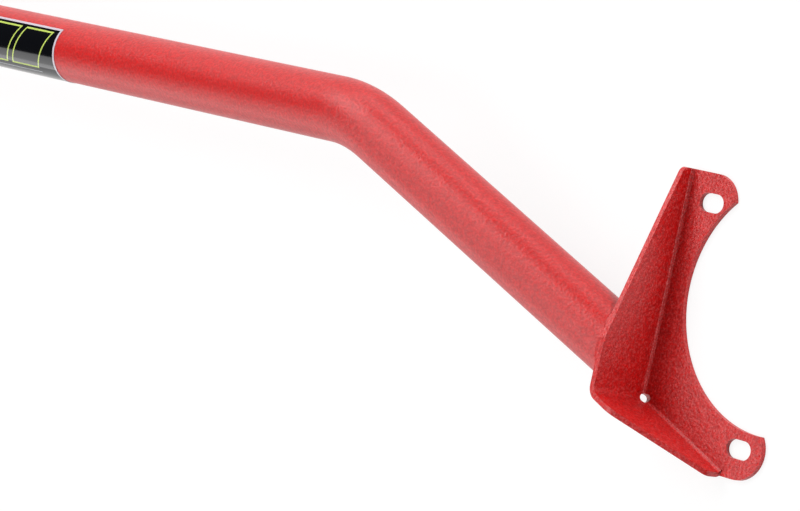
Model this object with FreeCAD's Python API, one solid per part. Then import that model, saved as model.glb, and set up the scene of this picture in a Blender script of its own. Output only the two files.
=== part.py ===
import FreeCAD, Part
import math
import os
from FreeCAD import Vector

# Strut tower brace: one round tube with a bend near each end, and a folded sheet-steel bracket
# welded to each end. All sizes are millimetres. X runs across the car, +Y forwards, Z up.
# The brackets' undersides lie on Z = 0, and the two halves mirror each other about X = 0.
# Each bracket stands on the strut's top mount, so its plan is laid out from the strut's axis.

# The whole brace
strut_spacing = 1036.0          # between the axes of the two suspension struts
middle_height = 50.1            # the middle tube's axis above the brackets' undersides
middle_offset = 43.7            # the middle tube's axis ahead of the strut axes
shoulder_reach = 234.7          # from a strut's axis inboard to where the two tube axes cross

# The tube
tube_diameter = 31.75
tube_wall = 2.0
tube_bend_radius = 63.5         # of the centre line
seat_offset = 33.8              # the tube's axis behind the strut's axis, where it meets the bracket
seat_rise = 17.2                # and above the top of the bracket's plate

# The bracket's sheet and folds
sheet = 2.5
fold_radius = 1.6               # inside, between the plate and the flanges
corner_radius = 4.0             # inside, between the two flanges
relief_radius = 2.1             # of the round hole where the three folds meet
relief_heading = 15.0           # degrees in plan, from +X, that the hole runs inwards
relief_slope = 28.0             # degrees that it rises inwards

# The bracket's two flanges: the long one carries the tube and runs along Y
setback_margin = 1.471          # between the front ear's round and the long flange
corner_margin = 2.613           # of the long flange behind the tube's end
short_flange_angle = 23.0       # degrees that the short flange turns back from X
short_flange_length = 56.6
top_margin = 0.358              # of the flanges' full height above the tube's end
slope_margin = 0.14             # of the long flange's falling edge above the tube's end
long_end_height = 5.4
short_level_length = 12.9       # the stretch of full height along the short flange
short_end_height = 7.8
edge_kink_radius = 12.0         # where a free edge starts to fall
flange_tip_radius = 4.0
notch_width = 0.7               # of the slit between the short flange's end and the plate

# The bracket's plate: a slotted ear for each stud, and a round cut-out for the strut's top mount
stud_circle_radius = 64.6
front_stud_angle = 144.1        # degrees round the strut's axis from +X
rear_stud_angle = 263.2
slot_width = 8.5
slot_length = 14.0
slot_lip = 1.842                # of plate between the front slot and the cut-out
ear_radius = 13.3

# The weld bead round each end of the tube, and the label
weld_leg = 3.2                  # how far the bead reaches along the tube and along the flange
weld_crown = 0.5                # how far it bulges past the straight line between its toes
weld_overrun = 0.4              # how far its form runs on into the tube, for a clean trim
label_length = 131.2
label_thickness = 0.15
label_adhesive = 0.1            # the film between the tube and the label
label_start_angle = -38.0       # degrees round the tube, from +Z towards -Y
label_end_angle = 102.0

CUT = 20.0                      # how far a cutting tool reaches past what it cuts

tube_radius = tube_diameter / 2
strut_x = strut_spacing / 2
plate_top = sheet
fold_width = sheet + fold_radius


def polar(radius, degrees):
    """A point of the plan, from its distance and its angle from +X."""
    angle = math.radians(degrees)
    return Vector(radius * math.cos(angle), radius * math.sin(angle), 0)


# The studs and their slots, with the strut's axis at the origin and +X outboard
front_stud = polar(stud_circle_radius, front_stud_angle)
rear_stud = polar(stud_circle_radius, rear_stud_angle)
slot_half_run = (slot_length - slot_width) / 2
slot_near_end = front_stud + Vector(slot_half_run, 0, 0)
cutout_radius = slot_near_end.Length - slot_width / 2 - slot_lip
flange_setback = ear_radius - front_stud.x + setback_margin

# The right half of the tube's centre line, in the same plan
seat = Vector(-flange_setback - sheet, -seat_offset, plate_top + seat_rise)
shoulder = Vector(-shoulder_reach, middle_offset, middle_height)
middle = Vector(-strut_x, middle_offset, middle_height)
arm_direction = (seat - shoulder).normalize()


def tube_end_reach(direction):
    """How far the tube's end reaches from its axis, across the long flange's face."""
    drift = Vector(0, arm_direction.y, arm_direction.z) / arm_direction.x
    return tube_radius * math.hypot(1, direction.dot(drift))


# The plan of the right-hand bracket, which takes the tube's end with a margin all round
corner_offset = seat_offset + tube_end_reach(Vector(0, 1, 0)) + corner_margin
flange_top = seat.z + tube_end_reach(Vector(0, 0, 1)) + top_margin
front_edge = front_stud.y + ear_radius
rear_edge = rear_stud.y - ear_radius
along_long = Vector(0, 1, 0)
along_short = polar(1, -short_flange_angle)
out_long = Vector(-1, 0, 0)
out_short = polar(1, -90 - short_flange_angle)
corner_inner = Vector(-flange_setback, -corner_offset, 0)
corner_outer = corner_inner + (out_long + out_short) * (sheet / (1 + out_long.dot(out_short)))
short_end = corner_inner + along_short * short_flange_length
short_end_outer = short_end + out_short * sheet

# The part's own frame has its origin under the middle of its outline
front_most = max(middle_offset + tube_radius, front_edge)
rear_most = min(short_end_outer.y, rear_edge)
to_frame = Vector(strut_x, -(front_most + rear_most) / 2, 0)


def prism(points, low, high):
    """A solid that stands on a flat outline, from one height to another."""
    corners = [Vector(p.x, p.y, low) for p in points]
    face = Part.Face(Part.makePolygon(corners + corners[:1]))
    return face.extrude(Vector(0, 0, high - low))


def upright_cylinder(centre, radius, low, high):
    """A round bar that stands on a point of the plan."""
    return Part.makeCylinder(radius, high - low, Vector(centre.x, centre.y, low))


def rounded_outline(points, radii):
    """A closed flat wire through the points, with an arc of the given radius at each of them."""
    rounds = []
    for i, corner in enumerate(points):
        before = (points[i - 1] - corner).normalize()
        after = (points[(i + 1) % len(points)] - corner).normalize()
        half_angle = math.acos(before.dot(after)) / 2
        reach = radii[i] / math.tan(half_angle)
        inset = radii[i] / math.sin(half_angle) - radii[i]
        halfway = corner + (before + after).normalize() * inset
        rounds.append((corner + before * reach, halfway, corner + after * reach))
    edges = []
    for i, (start, halfway, end) in enumerate(rounds):
        if radii[i] > 0:
            edges.append(Part.Arc(start, halfway, end).toShape())
        next_start = rounds[(i + 1) % len(points)][0]
        edges.append(Part.LineSegment(end, next_start).toShape())
    return Part.Wire(edges)


def envelope(corner, floor, upright_round, floor_round):
    """The room inside two walls and a floor, with rounded edges where they meet."""
    reach = 3 * stud_circle_radius
    far = corner + along_short * reach
    outline = [corner, far, far + along_long * reach, corner + along_long * reach]
    room = prism(outline, floor, flange_top + CUT)
    upright = [e for e in room.Edges if all(is_above(v, corner) for v in e.Vertexes)]
    room = room.makeFillet(upright_round, upright)
    if floor_round > 0:
        room = room.makeFillet(floor_round, wall_foot_edges(room, corner, floor))
    return room


def is_above(vertex, point):
    """Whether a vertex lies on the upright line through a point of the plan."""
    return math.hypot(vertex.X - point.x, vertex.Y - point.y) < 1e-6


def wall_foot_edges(room, corner, floor):
    """The edges of the room's floor that run along its two walls and round their corner."""
    found = []
    for edge in room.Edges:
        box = edge.BoundBox
        halfway = edge.valueAt((edge.FirstParameter + edge.LastParameter) / 2)
        from_corner = halfway - corner
        depth = min(-from_corner.dot(out_long), -Vector(from_corner.x, from_corner.y, 0).dot(out_short))
        if box.ZMax < floor + 1e-6 and depth < corner_radius:
            found.append(edge)
    return found


def outside_walls():
    """Everything on the strut's side of the flanges' outer faces, as a trimming block."""
    return envelope(corner_outer, -CUT, corner_radius + sheet, 0)


def folded_sheet():
    """An endless sheet folded up along both flanges, of even thickness throughout."""
    outer = envelope(corner_outer, 0, corner_radius + sheet, fold_width)
    inner = envelope(corner_inner, plate_top, corner_radius, fold_radius)
    return outer.cut(inner)


def fold_zone():
    """The strip in plan that holds both flanges and their folds."""
    inside = corner_inner - (out_long + out_short) * (2 * fold_radius)
    long_side = Vector(-flange_setback + fold_radius, 0, 0)
    short_side = short_end - out_short * fold_radius
    return prism([
        corner_outer - along_long * CUT - along_short * CUT,
        short_end + out_short * CUT,
        short_side,
        inside,
        Vector(long_side.x, inside.y + CUT, 0),
        Vector(long_side.x, front_edge, 0),
        Vector(corner_outer.x - CUT, front_edge, 0),
    ], -CUT, flange_top)


def plate():
    """The flat foot, out to its ears and round the cut-out."""
    web = prism([
        Vector(corner_outer.x, front_edge, 0),
        Vector(front_stud.x, front_edge, 0),
        front_stud,
        rear_stud,
        Vector(rear_stud.x, rear_edge, 0),
        Vector(corner_outer.x, rear_edge, 0),
    ], 0, plate_top)
    ears = [upright_cylinder(stud, ear_radius, 0, plate_top) for stud in (front_stud, rear_stud)]
    foot = web.fuse(ears).common(outside_walls())
    cutters = [upright_cylinder(Vector(0, 0, 0), cutout_radius, -CUT, CUT)]
    cutters += [slot_cutter(stud) for stud in (front_stud, rear_stud)]
    return foot.cut(cutters)


def slot_cutter(stud):
    """A stud slot with round ends, long along X."""
    ends = [stud + Vector(side * slot_half_run, 0, 0) for side in (-1, 1)]
    rise = Vector(0, slot_width / 2, 0)
    straight = prism([ends[0] - rise, ends[1] - rise, ends[1] + rise, ends[0] + rise], -CUT, CUT)
    return straight.fuse([upright_cylinder(end, slot_width / 2, -CUT, CUT) for end in ends])


def fall_start():
    """Where the long flange's free edge starts to fall, so as to pass over the tube's end."""
    end = Vector(0, front_edge, plate_top + long_end_height)
    shallow, steep = 0.0, math.pi / 2
    for _ in range(50):
        slope = (shallow + steep) / 2
        upwards = Vector(0, math.sin(slope), math.cos(slope))
        margin = upwards.dot(end - seat) - tube_end_reach(upwards)
        if margin < slope_margin:
            shallow = slope
        else:
            steep = slope
    return end.y - (flange_top - end.z) / math.tan(slope)


def above_free_edge(start, along, outward, level_length, length, end_height):
    """What a flange loses above its free edge: level at first, then falling to its end."""
    low = plate_top + end_height
    high = flange_top + CUT
    past_end = length + CUT

    def at(distance, height):
        return start + outward * CUT + along * distance + Vector(0, 0, height)

    outline = [
        at(0, flange_top),
        at(level_length, flange_top),
        at(length, low),
        at(length, plate_top),
        at(past_end, plate_top),
        at(past_end, high),
        at(0, high),
    ]
    wire = rounded_outline(outline, [0, edge_kink_radius, flange_tip_radius, 0, 0, 0, 0])
    return Part.Face(wire).extrude(outward * -2 * CUT)


def above_free_edges():
    """Both flanges' free-edge cutters; each runs outwards past the weld bead too."""
    long_level = fall_start() + corner_offset
    long_length = front_edge + corner_offset
    return [
        above_free_edge(corner_inner, along_long, out_long, long_level, long_length, long_end_height),
        above_free_edge(corner_inner, along_short, out_short, short_level_length, short_flange_length,
                        short_end_height),
    ]


def notch_cutter():
    """The slit at the short flange's end, as deep as the fold."""
    depth = -fold_radius
    inner = short_end + out_short * depth
    outer = short_end + out_short * CUT
    across = along_short * notch_width
    return prism([inner, inner + across, outer + across, outer], -CUT, CUT)


def relief_cutter():
    """The round hole that lets the three folds meet, drilled through their inner corner."""
    slope = math.radians(relief_slope)
    direction = polar(math.cos(slope), relief_heading) + Vector(0, 0, math.sin(slope))
    foot = corner_inner + Vector(0, 0, plate_top) - direction * CUT
    return Part.makeCylinder(relief_radius, 2 * CUT, foot, direction)


def bracket():
    """One folded bracket, in the plan of the right-hand end."""
    zone = fold_zone()
    folds = folded_sheet().common(zone).cut(above_free_edges())
    flat = plate().cut(zone)
    body = folds.fuse(flat).removeSplitter()
    return body.cut([relief_cutter(), notch_cutter()])


def disc(centre, direction, radius):
    """A flat round face square to a direction."""
    return Part.Face(Part.Wire(Part.makeCircle(radius, centre, direction)))


def half_bar(radius):
    """The right half of a round bar along the tube's centre line, running on past its seat."""
    inwards = (middle - shoulder).normalize()
    half_turn = (math.pi - math.acos(arm_direction.dot(inwards))) / 2
    reach = tube_bend_radius * math.tan(half_turn)
    bend_start = shoulder + inwards * reach
    bend_end = shoulder + arm_direction * reach
    to_centre = (inwards + arm_direction).normalize()
    bend_centre = shoulder + to_centre * (tube_bend_radius / math.cos(half_turn))
    bend_axis = arm_direction.cross(inwards).normalize()
    arm_end = seat + arm_direction * tube_diameter
    straight = disc(middle, inwards, radius).extrude(bend_start - middle)
    bend = disc(bend_start, inwards, radius).revolve(bend_centre, bend_axis, math.degrees(2 * half_turn))
    arm = disc(bend_end, arm_direction, radius).extrude(arm_end - bend_end)
    return straight.fuse([bend, arm]).removeSplitter()


def beyond_seat():
    """Everything on the strut's side of the plane that the tube's end meets, as a block."""
    reach = 4 * tube_diameter
    return Part.makeBox(reach, 2 * reach, 2 * reach, Vector(seat.x, seat.y - reach, seat.z - reach))


def tube():
    """The whole tube, with both ends cut to lie flat on the brackets' long flanges."""
    half = half_bar(tube_radius).cut(half_bar(tube_radius - tube_wall))
    right = placed(half.cut(beyond_seat()))
    return right.fuse(mirrored(right)).removeSplitter()


def seam_ring(extra_radius, offset):
    """The outline of a bar thicker than the tube, on a plane that far inboard of the flange."""
    across = arm_direction.cross(out_long).normalize()
    along = across.cross(out_long).normalize()
    centre = seat - arm_direction * (offset / arm_direction.x)
    narrow = tube_radius + extra_radius
    wide = narrow / arm_direction.x
    return Part.Wire(Part.Ellipse(centre + along * wide, centre + across * narrow, centre).toShape())


def weld_bead(bracket_body):
    """The fillet bead round the tube's end, with a slight crown, level with the free edge."""
    crest = weld_leg / 2 + weld_crown / math.sqrt(2)
    rings = [
        seam_ring(weld_leg, -sheet / 2),
        seam_ring(weld_leg, 0),
        seam_ring(crest, crest),
        seam_ring(-weld_overrun, weld_leg + weld_overrun),
    ]
    bead = Part.makeLoft(rings, True, True)
    for trimmer in [half_bar(tube_radius), bracket_body] + above_free_edges():
        bead = bead.cut(trimmer)
    return largest_solid(bead)


def largest_solid(shape):
    """The bead without the slivers that a trim can leave inside the wall."""
    return max(shape.Solids, key=lambda solid: solid.Volume)


def label():
    """A thin label wrapped part of the way round the tube, at the middle of the brace."""
    inner_radius = tube_radius + label_adhesive
    outer_radius = inner_radius + label_thickness
    start = middle - Vector(label_length / 2, 0, 0)
    angles = (label_start_angle, (label_start_angle + label_end_angle) / 2, label_end_angle)

    def round_the_tube(radius, angle):
        turn = math.radians(angle)
        return start + Vector(0, -radius * math.sin(turn), radius * math.cos(turn))

    outer = [round_the_tube(outer_radius, angle) for angle in angles]
    inner = [round_the_tube(inner_radius, angle) for angle in reversed(angles)]
    outline = Part.Wire([
        Part.Arc(*outer).toShape(),
        Part.LineSegment(outer[2], inner[0]).toShape(),
        Part.Arc(*inner).toShape(),
        Part.LineSegment(inner[2], outer[0]).toShape(),
    ])
    return Part.Face(outline).extrude(Vector(label_length, 0, 0))


def placed(shape):
    """The right-hand end's shape, moved into the part's own frame."""
    moved = shape.copy()
    moved.translate(to_frame)
    return moved


def mirrored(shape):
    """The left-hand end's shape, from the right-hand one in the part's own frame."""
    return shape.mirror(Vector(0, 0, 0), Vector(1, 0, 0))


def main():
    body = bracket()
    right_bracket = placed(body)
    right_weld_bead = placed(weld_bead(body))
    nodes = {
        "main_tube": tube(),
        "right_bracket": right_bracket,
        "left_bracket": mirrored(right_bracket),
        "right_weld_bead": right_weld_bead,
        "left_weld_bead": mirrored(right_weld_bead),
        "label": placed(label()),
    }
    os.makedirs("parts", exist_ok=True)
    for name, shape in nodes.items():
        box = shape.optimalBoundingBox()
        print(name, shape.isValid(), len(shape.Solids), "solid", round(shape.Volume / 1000, 3), "cm3",
              [round(v, 2) for v in (box.XMin, box.XMax, box.YMin, box.YMax, box.ZMin, box.ZMax)])
        shape.exportStep("parts/" + name + ".step")


main()
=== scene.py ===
import math

import bmesh
import bpy
from mathutils import Matrix, Vector


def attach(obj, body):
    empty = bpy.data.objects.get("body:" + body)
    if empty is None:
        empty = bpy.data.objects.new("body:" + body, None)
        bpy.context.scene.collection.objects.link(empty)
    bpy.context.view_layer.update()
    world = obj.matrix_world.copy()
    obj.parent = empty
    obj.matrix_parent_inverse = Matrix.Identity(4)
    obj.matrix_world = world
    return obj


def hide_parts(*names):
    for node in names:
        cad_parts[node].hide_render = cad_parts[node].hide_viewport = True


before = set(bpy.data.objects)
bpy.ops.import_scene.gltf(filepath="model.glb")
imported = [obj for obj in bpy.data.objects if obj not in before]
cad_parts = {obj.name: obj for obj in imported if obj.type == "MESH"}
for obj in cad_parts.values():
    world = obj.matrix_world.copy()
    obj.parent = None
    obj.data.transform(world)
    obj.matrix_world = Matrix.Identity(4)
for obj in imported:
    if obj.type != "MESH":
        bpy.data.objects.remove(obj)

# A strut tower brace: a red powder-coated steel tube, a folded sheet bracket welded to each end,
# and a printed label round the middle. X runs across the car, +Y forwards, Z up.
MM = 0.001

# The tube
TUBE_RADIUS = 15.875 * MM
TUBE_BEND_RADIUS = 63.5 * MM
MIDDLE_Y = 53.0958 * MM         # the middle stretch's axis
MIDDLE_Z = 50.1 * MM
SHOULDER_X = 283.3 * MM         # where the middle axis and the arm's axis cross
SEAT = Vector((448.4, -24.4042, 19.7)) * MM      # the arm's axis on the bracket's outer face
RINGS_PER_ARM = 12
RINGS_PER_BEND = 28
RINGS_PER_MIDDLE = 24
RING_POINTS = 128

# The brackets' sheet edges, rounded by deburring and by the coat
EDGE_ROUNDING = 0.4 * MM
EDGE_ANGLE = math.radians(28)
MERGE_DISTANCE = 0.004 * MM
FLAT_ANGLE = math.radians(0.4)

# The bracket's free edge over the weld: level first, then falling forwards
EDGE_TOP = 36.2 * MM
EDGE_KINK_Y = -20.5542 * MM
EDGE_END_Y = 60.5767 * MM
EDGE_END_TOP = 7.9 * MM

# The weld bead, a row of overlapping ripples
RIPPLE_PITCH = 1.7 * MM
RIPPLE_SIZE = Vector((1.35, 2.2, 1.25)) * MM     # along the seam, from toe to toe, and thick
RIPPLE_INSET = 0.55 * MM
BEAD_GRAIN = 0.32 * MM
SEAM_SAMPLES = 720

# The powder coat. The flange's coat is rougher than the tube's, and more of it is painted with pale
# highlight flecks.
WRINKLE_SIZE = 1.5 * MM
# the spacing of the pale flecks painted into the colour as highlights of the gloss
PAINTED_GLINT_SIZE = 0.95 * MM
DRIFT_SIZE = 45 * MM
DRIFT_SHARE = 0.12
SHEET_WRINKLE_DEPTH, SHEET_PAINTED_GLINT_SHARE = 0.35 * MM, 0.36
TUBE_WRINKLE_DEPTH, TUBE_PAINTED_GLINT_SHARE = 0.2 * MM, 0.14

# The label
LABEL_HALF_LENGTH = 65.6 * MM
LABEL_START, LABEL_END = -38.0, 102.0            # degrees round the tube, from +Z towards -Y
LABEL_GAP = 0.1 * MM
LABEL_THICKNESS = 0.15 * MM
LABEL_COLUMNS, LABEL_ROWS = 12, 56
PEEL_SIZE = 4 * MM
PEEL_DEPTH = 0.02 * MM

# What is printed on it, in millimetres from its middle: a silver rim, a row of slanted lime
# outlines, and a pinstripe under them
RIM_WIDTH = 1.3
BLOCK_PITCH = 27.0
BLOCK_HALF_WIDTH = 11.6
BLOCK_HALF_HEIGHT = 10.9
BLOCK_ROW = 6.1
BLOCK_SLANT = -0.5
OUTLINE_WIDTH = 1.0
PINSTRIPE_ROW = -7.6
PINSTRIPE_WIDTH = 0.5

# The white surroundings, in metres
FLOOR_RADIUS = 7.0
WALL_CURVE = 0.5
WALL_HEIGHT = 1.3
WALL_CURVE_STEPS = 8
FLOOR_SEGMENTS = 96

# The softboxes: name, place and side in metres, and watts
SOFTBOXES = (
    ("key", (-0.6, 1.1, 2.1), 1.8, 38),
    ("front_left", (-1.0, 1.9, 1.4), 1.8, 20),
    ("top_rear", (-0.4, -0.9, 2.2), 1.8, 34),
    ("rear_left", (-1.6, -2.1, 1.0), 2.4, 32),
    ("camera_side", (1.5, -0.3, 1.9), 1.0, 5),
    ("low_front_right", (1.7, 1.7, 0.17), 0.3, 19),
    ("low_front", (0.0, 2.4, 0.55), 1.1, 12),
    ("low_right", (2.4, 0.2, 0.17), 0.3, 6),
)

# The photograph's view
CAMERA_PLACE = Vector((1.4142, 0.0558, 1.1218))
CAMERA_FORWARD = Vector((-0.7109, -0.0412, -0.70209))
CAMERA_UP = Vector((-0.17645, 0.9768, 0.12134))
LENS = 148.5                    # millimetres, on a sensor as wide as the next line says
SENSOR_WIDTH = 36.0

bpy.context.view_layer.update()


def linear(hex_code):
    """An sRGB hex colour as the linear RGBA that Blender's sockets hold."""
    channels = [int(hex_code[i:i + 2], 16) / 255 for i in (1, 3, 5)]
    return [c / 12.92 if c <= 0.04045 else ((c + 0.055) / 1.055) ** 2.4 for c in channels] + [1.0]


def add(tree, kind, inputs=(), **settings):
    """Adds a node. Each input is a value, or the socket that it is linked to."""
    made = tree.nodes.new(kind)
    for name, value in settings.items():
        setattr(made, name, value)
    for name, value in dict(inputs).items():
        if isinstance(value, bpy.types.NodeSocket):
            tree.links.new(value, made.inputs[name])
        else:
            made.inputs[name].default_value = value
    return made


def new_material(name):
    """An empty material, and its node tree."""
    material = bpy.data.materials.new(name)
    material.use_nodes = True
    material.node_tree.nodes.clear()
    return material, material.node_tree


def powder_coat(name, wrinkle_depth, painted_glint_share):
    """Polyester powder coat baked on steel: a deep even red with a fine wrinkle. The wrinkle's
    valleys are painted darker and its crests lighter, as painted shade and light. The pale flecks
    that its gloss gives are finer than the bump can show, so they are painted into the colour as
    highlights."""
    material, tree = new_material(name)
    place = add(tree, "ShaderNodeTexCoord").outputs["Object"]
    wrinkle = add(tree, "ShaderNodeTexNoise", {
        "Vector": place, "Scale": 1 / WRINKLE_SIZE, "Detail": 2.0, "Roughness": 0.6})
    glint_noise = add(tree, "ShaderNodeTexNoise", {
        "Vector": place, "Scale": 1 / PAINTED_GLINT_SIZE, "Detail": 1.0, "Roughness": 0.5})
    drift = add(tree, "ShaderNodeTexNoise", {
        "Vector": place, "Scale": 1 / DRIFT_SIZE, "Detail": 2.0})
    bump = add(tree, "ShaderNodeBump", {
        "Strength": 1.0, "Distance": wrinkle_depth, "Height": wrinkle.outputs["Fac"]})
    # Painted shade and light: the wrinkle's valleys are coloured a darker red and its crests a
    # lighter red, the way light falling on the wrinkle would shade them.
    wrinkle_light_and_shade = add(tree, "ShaderNodeMapRange", {
        "Value": wrinkle.outputs["Fac"], "From Min": 0.35, "From Max": 0.65,
        "To Min": 0.0, "To Max": 1.0})
    painted_wrinkle_light = add(tree, "ShaderNodeMix", {
        0: wrinkle_light_and_shade.outputs[0], 6: linear("#A60000"), 7: linear("#C60302")}, data_type="RGBA")
    broad = add(tree, "ShaderNodeMapRange", {
        "Value": drift.outputs["Fac"], "From Min": 0.35, "From Max": 0.65,
        "To Min": 0.0, "To Max": DRIFT_SHARE})
    even = add(tree, "ShaderNodeMix", {
        0: broad.outputs[0], 6: painted_wrinkle_light.outputs[2], 7: linear("#A00202")}, data_type="RGBA")
    # Painted highlight: pale pink flecks in the colour stand in for the glints of the coat's gloss.
    painted_glint = add(tree, "ShaderNodeMapRange", {
        "Value": glint_noise.outputs["Fac"], "From Min": 0.48, "From Max": 0.68,
        "To Min": 0.0, "To Max": painted_glint_share})
    colour = add(tree, "ShaderNodeMix", {
        0: painted_glint.outputs[0], 6: even.outputs[2], 7: linear("#E05C5A")}, data_type="RGBA")
    gloss = add(tree, "ShaderNodeMapRange", {
        "Value": wrinkle.outputs["Fac"], "From Min": 0.3, "From Max": 0.7,
        "To Min": 0.41, "To Max": 0.35})
    surface = add(tree, "ShaderNodeBsdfPrincipled", {
        "Base Color": colour.outputs[2], "Roughness": gloss.outputs[0], "IOR": 1.52,
        "Normal": bump.outputs[0]})
    add(tree, "ShaderNodeOutputMaterial", {"Surface": surface.outputs[0]})
    return material


def printed_film():
    """Glossy vinyl film, printed black with a silver rim and slanted lime outlines: sharp
    edges between the inks, one even gloss over all of them, and a faint orange peel."""
    material, tree = new_material("printed_vinyl_film")
    place = add(tree, "ShaderNodeTexCoord").outputs["Object"]
    peel = add(tree, "ShaderNodeTexNoise", {
        "Vector": place, "Scale": 1 / PEEL_SIZE, "Detail": 1.0})
    bump = add(tree, "ShaderNodeBump", {
        "Strength": 0.2, "Distance": PEEL_DEPTH, "Height": peel.outputs["Fac"]})
    surface = add(tree, "ShaderNodeBsdfPrincipled", {
        "Base Color": printed_inks(tree), "Roughness": 0.09, "IOR": 1.5,
        "Normal": bump.outputs[0]})
    add(tree, "ShaderNodeOutputMaterial", {"Surface": surface.outputs[0]})
    return material


def printed_inks(tree):
    """The label's colours, from a UV map that measures it in millimetres from its middle."""
    half_length = LABEL_HALF_LENGTH / MM
    half_width = label_half_width() / MM
    sheet = add(tree, "ShaderNodeUVMap", uv_map="millimetres").outputs[0]
    parts = add(tree, "ShaderNodeSeparateXYZ", {0: sheet})
    along, across = parts.outputs[0], parts.outputs[1]

    def work(operation, *values):
        return add(tree, "ShaderNodeMath", dict(enumerate(values)), operation=operation).outputs[0]

    def from_line(value, line):
        return work("ABSOLUTE", work("SUBTRACT", value, line))

    def both(one, other):
        return work("MULTIPLY", one, other)

    def ink(share, below, colour):
        return add(tree, "ShaderNodeMix", {0: share, 6: below, 7: linear(colour)},
                   data_type="RGBA").outputs[2]

    end_distance = from_line(along, 0.0)
    slanted = work("MULTIPLY_ADD", across, BLOCK_SLANT, along)
    block_distance = from_line(work("FLOORED_MODULO", slanted, BLOCK_PITCH), BLOCK_PITCH / 2)
    row_distance = from_line(across, BLOCK_ROW)
    in_row = work("LESS_THAN", from_line(slanted, 0.0), BLOCK_PITCH * 2)

    def block(margin):
        wide = work("LESS_THAN", block_distance, BLOCK_HALF_WIDTH - margin)
        high = work("LESS_THAN", row_distance, BLOCK_HALF_HEIGHT - margin)
        return both(both(wide, high), in_row)

    black_field = both(work("LESS_THAN", end_distance, half_length - RIM_WIDTH),
                       work("LESS_THAN", from_line(across, 0.0), half_width - RIM_WIDTH))
    outlines = work("SUBTRACT", block(0.0), block(OUTLINE_WIDTH))
    pinstripe = both(work("LESS_THAN", from_line(across, PINSTRIPE_ROW), PINSTRIPE_WIDTH / 2),
                     in_row)
    rim_and_field = ink(black_field, linear("#C2B9C2"), "#07080C")
    with_outlines = ink(outlines, rim_and_field, "#B2C45F")
    return ink(pinstripe, with_outlines, "#9FA3A8")


def label_half_width():
    """Half the label's width, measured round the tube."""
    radius = TUBE_RADIUS + LABEL_GAP + LABEL_THICKNESS
    return radius * math.radians(LABEL_END - LABEL_START) / 2


def white_paper():
    """Seamless white paper: matt, and white wherever it is seen straight or in a gloss, with
    a faint shadow left under the object."""
    material, tree = new_material("white_paper")
    path = add(tree, "ShaderNodeLightPath")
    seen = add(tree, "ShaderNodeMath", {
        0: path.outputs["Is Camera Ray"], 1: path.outputs["Is Glossy Ray"]}, operation="MAXIMUM")
    seen = add(tree, "ShaderNodeMath", {
        0: seen.outputs[0], 1: path.outputs["Is Transmission Ray"]}, operation="MAXIMUM")
    share = add(tree, "ShaderNodeMath", {0: seen.outputs[0], 1: 0.8}, operation="MULTIPLY")
    paper = add(tree, "ShaderNodeBsdfDiffuse", {"Color": linear("#EBEBEB")})
    glow = add(tree, "ShaderNodeEmission", {"Color": linear("#FFFFFF"), "Strength": 1.04})
    both = add(tree, "ShaderNodeMixShader", {
        0: share.outputs[0], 1: paper.outputs[0], 2: glow.outputs[0]})
    add(tree, "ShaderNodeOutputMaterial", {"Surface": both.outputs[0]})
    return material


def finish_piece(name, mesh, material, slot, *nodes):
    """Puts a mesh into the scene as a piece of the brace that stands for CAD nodes."""
    mesh.materials.clear()
    mesh.materials.append(material)
    piece = bpy.data.objects.new(name, mesh)
    bpy.context.scene.collection.objects.link(piece)
    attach(piece, "root")
    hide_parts(*nodes)
    return piece


def smooth_by_angle(mesh, degrees):
    """Smooth faces that stay sharp where they meet at more than an angle."""
    mesh.shade_smooth()
    mesh.set_sharp_from_angle(angle=math.radians(degrees))


def applied(mesh, add_modifiers):
    """A mesh with modifiers worked in, through an object that is then removed."""
    holder = bpy.data.objects.new("holder", mesh)
    bpy.context.scene.collection.objects.link(holder)
    add_modifiers(holder)
    evaluated = holder.evaluated_get(bpy.context.evaluated_depsgraph_get())
    result = bpy.data.meshes.new_from_object(evaluated)
    bpy.data.objects.remove(holder)
    return result


def centre_line():
    """The tube's centre line from seat to seat, as points with the direction at each."""
    shoulder = Vector((SHOULDER_X, MIDDLE_Y, MIDDLE_Z))
    inwards = Vector((-1, 0, 0))
    outwards = (SEAT - shoulder).normalized()
    half_turn = (math.pi - inwards.angle(outwards)) / 2
    reach = TUBE_BEND_RADIUS * math.tan(half_turn)
    to_centre = (inwards + outwards).normalized()
    bend_centre = shoulder + to_centre * (TUBE_BEND_RADIUS / math.cos(half_turn))
    axis = outwards.cross(inwards).normalized()
    first = shoulder + outwards * reach
    right = [(SEAT, -outwards)]
    for i in range(1, RINGS_PER_ARM):
        right.append((SEAT.lerp(first, i / RINGS_PER_ARM), -outwards))
    for i in range(RINGS_PER_BEND + 1):
        turn = Matrix.Rotation(-2 * half_turn * i / RINGS_PER_BEND, 3, axis)
        right.append((bend_centre + turn @ (first - bend_centre), turn @ -outwards))
    left = [(Vector((-p.x, p.y, p.z)), Vector((d.x, -d.y, -d.z))) for p, d in reversed(right)]
    inner = right[-1][0]
    middle = [(Vector((inner.x * (1 - 2 * i / RINGS_PER_MIDDLE), inner.y, inner.z)), inwards)
              for i in range(1, RINGS_PER_MIDDLE)]
    return right + middle + left


def ring_frame(direction):
    """Two directions square to the tube that turn with it, the second one nearest to up."""
    side = direction.cross(Vector((0, 0, 1))).normalized()
    return side, side.cross(direction).normalized()


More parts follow.
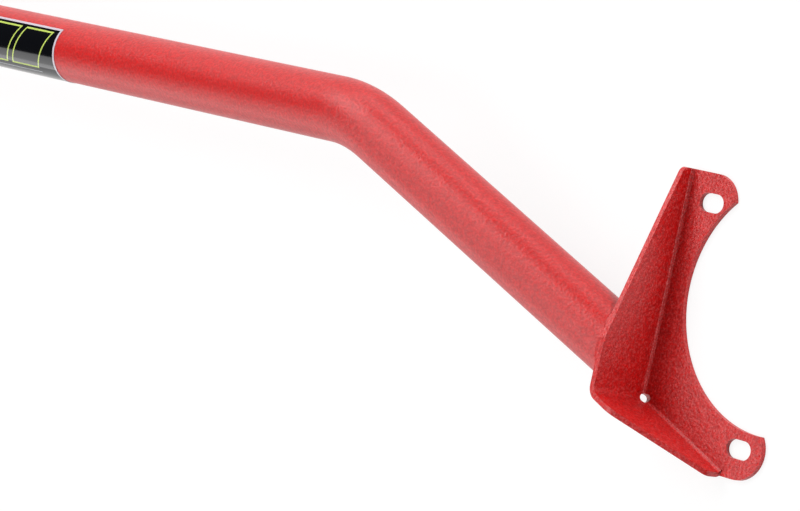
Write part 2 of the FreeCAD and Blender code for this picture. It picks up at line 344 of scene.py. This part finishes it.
def tube_mesh():
    """The bent tube as one skin, with each end cut flush with its bracket's outer face."""
    line = centre_line()
    edit = bmesh.new()
    rings = []
    for index, (point, direction) in enumerate(line):
        side, up = ring_frame(direction)
        ring = []
        for i in range(RING_POINTS):
            turn = 2 * math.pi * i / RING_POINTS
            place = point + (side * math.cos(turn) + up * math.sin(turn)) * TUBE_RADIUS
            if index in (0, len(line) - 1):
                place -= direction * ((place.x - point.x) / direction.x)
            ring.append(edit.verts.new(place))
        rings.append(ring)
    for ring, following in zip(rings, rings[1:]):
        for i in range(RING_POINTS):
            j = (i + 1) % RING_POINTS
            edit.faces.new((ring[i], ring[j], following[j], following[i]))
    edit.faces.new(rings[0])
    edit.faces.new(rings[-1])
    bmesh.ops.recalc_face_normals(edit, faces=edit.faces)
    mesh = bpy.data.meshes.new("tube")
    edit.to_mesh(mesh)
    edit.free()
    smooth_by_angle(mesh, 40)
    return mesh


def bracket_mesh(node):
    """The CAD bracket with its sheet edges rounded over."""
    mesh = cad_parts[node].data.copy()
    edit = bmesh.new()
    edit.from_mesh(mesh)
    bmesh.ops.remove_doubles(edit, verts=edit.verts, dist=MERGE_DISTANCE)
    bmesh.ops.dissolve_limit(edit, angle_limit=FLAT_ANGLE, verts=edit.verts,
                             edges=edit.edges, use_dissolve_boundaries=False)
    edit.to_mesh(mesh)
    edit.free()

    def round_edges(holder):
        bevel = holder.modifiers.new("edges", "BEVEL")
        bevel.width = EDGE_ROUNDING
        bevel.segments = 3
        bevel.limit_method = "ANGLE"
        bevel.angle_limit = EDGE_ANGLE
        bevel.use_clamp_overlap = True
        bevel.miter_outer = "MITER_ARC"
        weighted = holder.modifiers.new("normals", "WEIGHTED_NORMAL")
        weighted.keep_sharp = True
        weighted.weight = 100

    smooth_by_angle(mesh, 60)
    return applied(mesh, round_edges)


def seam_points(side):
    """Points along the weld seam, each with the seam's direction and the way out of its corner."""
    shoulder = Vector((SHOULDER_X, MIDDLE_Y, MIDDLE_Z))
    direction = (SEAT - shoulder).normalized()
    across, up = ring_frame(direction)

    def at(turn):
        radial = across * math.cos(turn) + up * math.sin(turn)
        on_tube = SEAT + radial * TUBE_RADIUS
        return on_tube - direction * ((on_tube.x - SEAT.x) / direction.x), radial

    sampled = [at(2 * math.pi * i / SEAM_SAMPLES) for i in range(SEAM_SAMPLES)]
    length = sum((sampled[i][0] - sampled[i - 1][0]).length for i in range(SEAM_SAMPLES))
    count = round(length / RIPPLE_PITCH)
    points, walked, wanted = [], 0.0, 0.0
    for i in range(SEAM_SAMPLES):
        place, radial = sampled[i]
        following = sampled[(i + 1) % SEAM_SAMPLES][0]
        if walked >= wanted and len(points) < count:
            tangent = (following - place).normalized()
            in_plane = Vector((0, radial.y, radial.z)).normalized()
            outward = (in_plane + Vector((-1, 0, 0))).normalized()
            points.append((place + outward * RIPPLE_INSET, tangent, outward))
            wanted += length / count
        walked += (following - place).length
    return [tuple(Vector((v.x * side, v.y, v.z)) for v in entry) for entry in points]


def ripple_tree(material):
    """Geometry Nodes that lay one flattened ripple on every point of the seam."""
    tree = bpy.data.node_groups.new("weld_ripples", "GeometryNodeTree")
    tree.is_modifier = True
    interface = tree.interface
    interface.new_socket("Seam", in_out="INPUT", socket_type="NodeSocketGeometry")
    interface.new_socket("Ripple size", in_out="INPUT", socket_type="NodeSocketVector")
    interface.new_socket("Weld", in_out="OUTPUT", socket_type="NodeSocketGeometry")
    given = add(tree, "NodeGroupInput")
    tangent = add(tree, "GeometryNodeInputNamedAttribute", {"Name": "tangent"},
                  data_type="FLOAT_VECTOR")
    outward = add(tree, "GeometryNodeInputNamedAttribute", {"Name": "outward"},
                  data_type="FLOAT_VECTOR")
    turn = add(tree, "FunctionNodeAxesToRotation", {
        0: outward.outputs[0], 1: tangent.outputs[0]}, primary_axis="Z", secondary_axis="X")
    ball = add(tree, "GeometryNodeMeshUVSphere", {"Segments": 20, "Rings": 10, "Radius": 1.0})
    row = add(tree, "GeometryNodeInstanceOnPoints", {
        "Points": given.outputs["Seam"], "Instance": ball.outputs["Mesh"],
        "Rotation": turn.outputs[0], "Scale": given.outputs["Ripple size"]})
    real = add(tree, "GeometryNodeRealizeInstances", {"Geometry": row.outputs["Instances"]})
    coated = add(tree, "GeometryNodeSetMaterial", {
        "Geometry": real.outputs["Geometry"], "Material": material})
    add(tree, "NodeGroupOutput", {"Weld": coated.outputs["Geometry"]})
    return tree


def free_edge_height(y):
    """How high the bracket's long flange stands at that Y."""
    if y <= EDGE_KINK_Y:
        return EDGE_TOP
    share = (y - EDGE_KINK_Y) / (EDGE_END_Y - EDGE_KINK_Y)
    return EDGE_TOP + (EDGE_END_TOP - EDGE_TOP) * share


def weld_mesh(side, tree):
    """One weld bead: ripples run together under the coat, and level with the free edge."""
    seam = bpy.data.meshes.new("seam")
    entries = seam_points(side)
    seam.from_pydata([entry[0] for entry in entries], [], [])
    for column, name in ((1, "tangent"), (2, "outward")):
        attribute = seam.attributes.new(name, "FLOAT_VECTOR", "POINT")
        for i, entry in enumerate(entries):
            attribute.data[i].vector = entry[column]

    def lay_ripples(holder):
        modifier = holder.modifiers.new("ripples", "NODES")
        modifier.node_group = tree
        sockets = {item.name: item.identifier for item in tree.interface.items_tree
                   if item.in_out == "INPUT"}
        modifier[sockets["Ripple size"]] = RIPPLE_SIZE
        fuse = holder.modifiers.new("fuse", "REMESH")
        fuse.mode = "VOXEL"
        fuse.voxel_size = BEAD_GRAIN
        settle = holder.modifiers.new("settle", "SMOOTH")
        settle.factor = 0.5
        settle.iterations = 2

    mesh = applied(seam, lay_ripples)
    for vertex in mesh.vertices:
        vertex.co.z = min(vertex.co.z, free_edge_height(vertex.co.y) - 0.1 * MM)
    mesh.shade_smooth()
    return mesh


def label_mesh():
    """The label as a thin closed film round the tube, with a UV map in millimetres."""
    columns, rows = LABEL_COLUMNS, LABEL_ROWS
    inner = TUBE_RADIUS + LABEL_GAP
    edit = bmesh.new()
    sheets = []
    for radius in (inner, inner + LABEL_THICKNESS):
        sheet = []
        for j in range(rows + 1):
            angle = math.radians(LABEL_START + (LABEL_END - LABEL_START) * j / rows)
            y = MIDDLE_Y - radius * math.sin(angle)
            z = MIDDLE_Z + radius * math.cos(angle)
            sheet.append([
                edit.verts.new((LABEL_HALF_LENGTH * (2 * i / columns - 1), y, z))
                for i in range(columns + 1)])
        sheets.append(sheet)
    for sheet in sheets:
        for j in range(rows):
            for i in range(columns):
                edit.faces.new((sheet[j][i], sheet[j][i + 1], sheet[j + 1][i + 1], sheet[j + 1][i]))
    low, high = sheets
    for j in range(rows):
        for i in (0, columns):
            edit.faces.new((low[j][i], low[j + 1][i], high[j + 1][i], high[j][i]))
    for i in range(columns):
        for j in (0, rows):
            edit.faces.new((low[j][i], low[j][i + 1], high[j][i + 1], high[j][i]))
    bmesh.ops.recalc_face_normals(edit, faces=edit.faces)
    millimetres = edit.loops.layers.uv.new("millimetres")
    middle_angle = math.radians(LABEL_START + LABEL_END) / 2
    for face in edit.faces:
        for loop in face.loops:
            co = loop.vert.co
            angle = math.atan2(MIDDLE_Y - co.y, co.z - MIDDLE_Z) - middle_angle
            loop[millimetres].uv = (co.x / MM, -angle * (inner + LABEL_THICKNESS) / MM)
    mesh = bpy.data.meshes.new("label")
    edit.to_mesh(mesh)
    edit.free()
    smooth_by_angle(mesh, 40)
    return mesh


def make_backdrop():
    """A round white floor that curves up into a low white wall all the way round."""
    profile = [(0.0, 0.0), (FLOOR_RADIUS - WALL_CURVE, 0.0)]
    for i in range(1, WALL_CURVE_STEPS + 1):
        turn = math.pi / 2 * i / WALL_CURVE_STEPS
        profile.append((FLOOR_RADIUS - WALL_CURVE * (1 - math.sin(turn)),
                        WALL_CURVE * (1 - math.cos(turn))))
    profile.append((FLOOR_RADIUS, WALL_HEIGHT))
    edit = bmesh.new()
    centre = edit.verts.new((0, 0, 0))
    rings = []
    for radius, height in profile[1:]:
        rings.append([
            edit.verts.new((radius * math.cos(2 * math.pi * i / FLOOR_SEGMENTS),
                            radius * math.sin(2 * math.pi * i / FLOOR_SEGMENTS), height))
            for i in range(FLOOR_SEGMENTS)])
    for i in range(FLOOR_SEGMENTS):
        j = (i + 1) % FLOOR_SEGMENTS
        edit.faces.new((centre, rings[0][i], rings[0][j]))
        for ring, following in zip(rings, rings[1:]):
            edit.faces.new((ring[i], following[i], following[j], ring[j]))
    mesh = bpy.data.meshes.new("backdrop")
    edit.to_mesh(mesh)
    edit.free()
    mesh.shade_smooth()
    mesh.materials.append(white_paper())
    backdrop = bpy.data.objects.new("backdrop", mesh)
    bpy.context.scene.collection.objects.link(backdrop)


def softbox(name, place, size, power):
    """A square softbox that faces the brace."""
    lamp = bpy.data.lights.new(name, "AREA")
    lamp.size = size
    lamp.energy = power
    holder = bpy.data.objects.new(name, lamp)
    holder.location = place
    holder.rotation_mode = "QUATERNION"
    holder.rotation_quaternion = (-Vector(place)).to_track_quat("-Z", "Y")
    bpy.context.scene.collection.objects.link(holder)


def make_lights():
    """Soft studio light: large softboxes above, in front and behind, most of them to the left so
    that the flanges shade their own creases, small ones low on the right, and a dim room."""
    for name, place, side, power in SOFTBOXES:
        softbox(name, place, side, power)
    world = bpy.data.worlds.new("dim_room")
    bpy.context.scene.world = world
    world.use_nodes = True
    tree = world.node_tree
    tree.nodes.clear()
    glow = add(tree, "ShaderNodeBackground", {"Color": linear("#FFFFFF"), "Strength": 0.03})
    add(tree, "ShaderNodeOutputWorld", {"Surface": glow.outputs[0]})


def make_camera():
    """The photograph's viewpoint."""
    lens = bpy.data.cameras.new("camera")
    lens.lens = LENS
    lens.sensor_width = SENSOR_WIDTH
    lens.clip_start, lens.clip_end = 0.05, 60.0
    camera = bpy.data.objects.new("camera", lens)
    back = -CAMERA_FORWARD.normalized()
    right = CAMERA_UP.cross(back).normalized()
    up = back.cross(right)
    turn = Matrix((right, up, back)).transposed()
    camera.matrix_world = Matrix.Translation(CAMERA_PLACE) @ turn.to_4x4()
    bpy.context.scene.collection.objects.link(camera)
    bpy.context.scene.camera = camera


def main():
    bpy.context.scene.view_settings.view_transform = "Standard"
    sheet_coat = powder_coat("red_powder_coat_on_sheet", SHEET_WRINKLE_DEPTH, SHEET_PAINTED_GLINT_SHARE)
    tube_coat = powder_coat("red_powder_coat_on_tube", TUBE_WRINKLE_DEPTH, TUBE_PAINTED_GLINT_SHARE)
    film = printed_film()
    ripples = ripple_tree(tube_coat)
    finish_piece("tube", tube_mesh(), tube_coat, "powder_coat", "main_tube")
    for side, name in ((1, "right"), (-1, "left")):
        finish_piece(name + "_end_bracket", bracket_mesh(name + "_bracket"), sheet_coat,
                     "powder_coat", name + "_bracket")
        finish_piece(name + "_weld", weld_mesh(side, ripples), tube_coat, "powder_coat",
                     name + "_weld_bead")
    finish_piece("printed_label", label_mesh(), film, "label", "label")
    for name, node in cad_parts.items():
        node.data.materials.clear()
        if name == "label":
            node.data.materials.append(film)
        elif "bracket" in name:
            node.data.materials.append(sheet_coat)
        else:
            node.data.materials.append(tube_coat)
    make_backdrop()
    make_lights()
    make_camera()


main()
